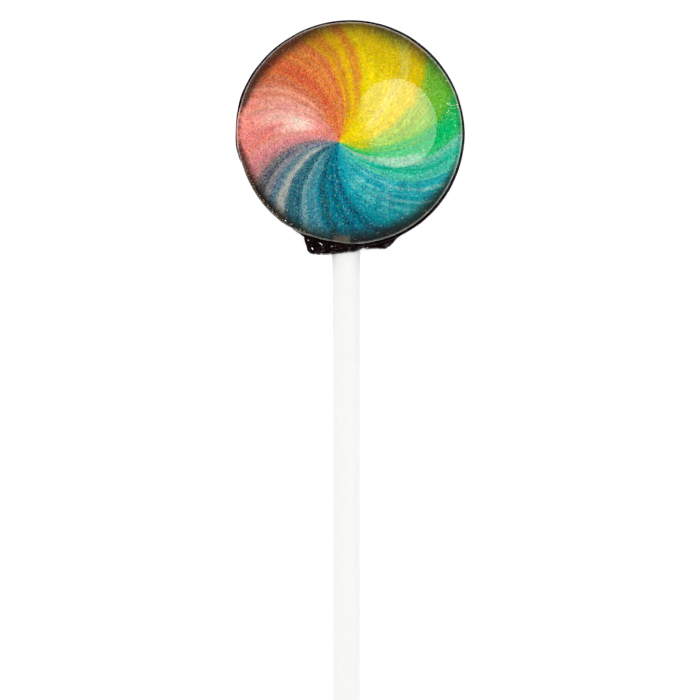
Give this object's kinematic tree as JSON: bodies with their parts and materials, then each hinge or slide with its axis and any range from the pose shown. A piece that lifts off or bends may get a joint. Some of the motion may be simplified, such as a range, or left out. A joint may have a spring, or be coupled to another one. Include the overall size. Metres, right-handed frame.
{
  "type": "swirl lollipop",
  "caption": "Round lollipop lying flat: clear domed candy over a rainbow swirl print, a black candy back with a ragged skirt, and a white paper stick.",
  "frame": {"origin": "centre of the candy disc's flat back, on the surface that the lollipop lies on", "axes": "+Z out of the swirl face, +Y from the stick's free end towards the disc, +X to the right as the swirl is seen"},
  "size_m": [0.0357, 0.1694, 0.012],
  "materials": {
    "clear_candy": "clear polished hard candy with fine gold specks",
    "swirl_print": "rainbow spiral print on an edible sheet",
    "black_candy": "glossy black hard candy",
    "white_paper": "tightly rolled matt white paper"
  },
  "bodies": {
    "root": {"clear_dome": "clear_candy", "swirl_disc": "swirl_print", "black_back": "black_candy", "stick": "white_paper"}
  },
  "joints": []
}
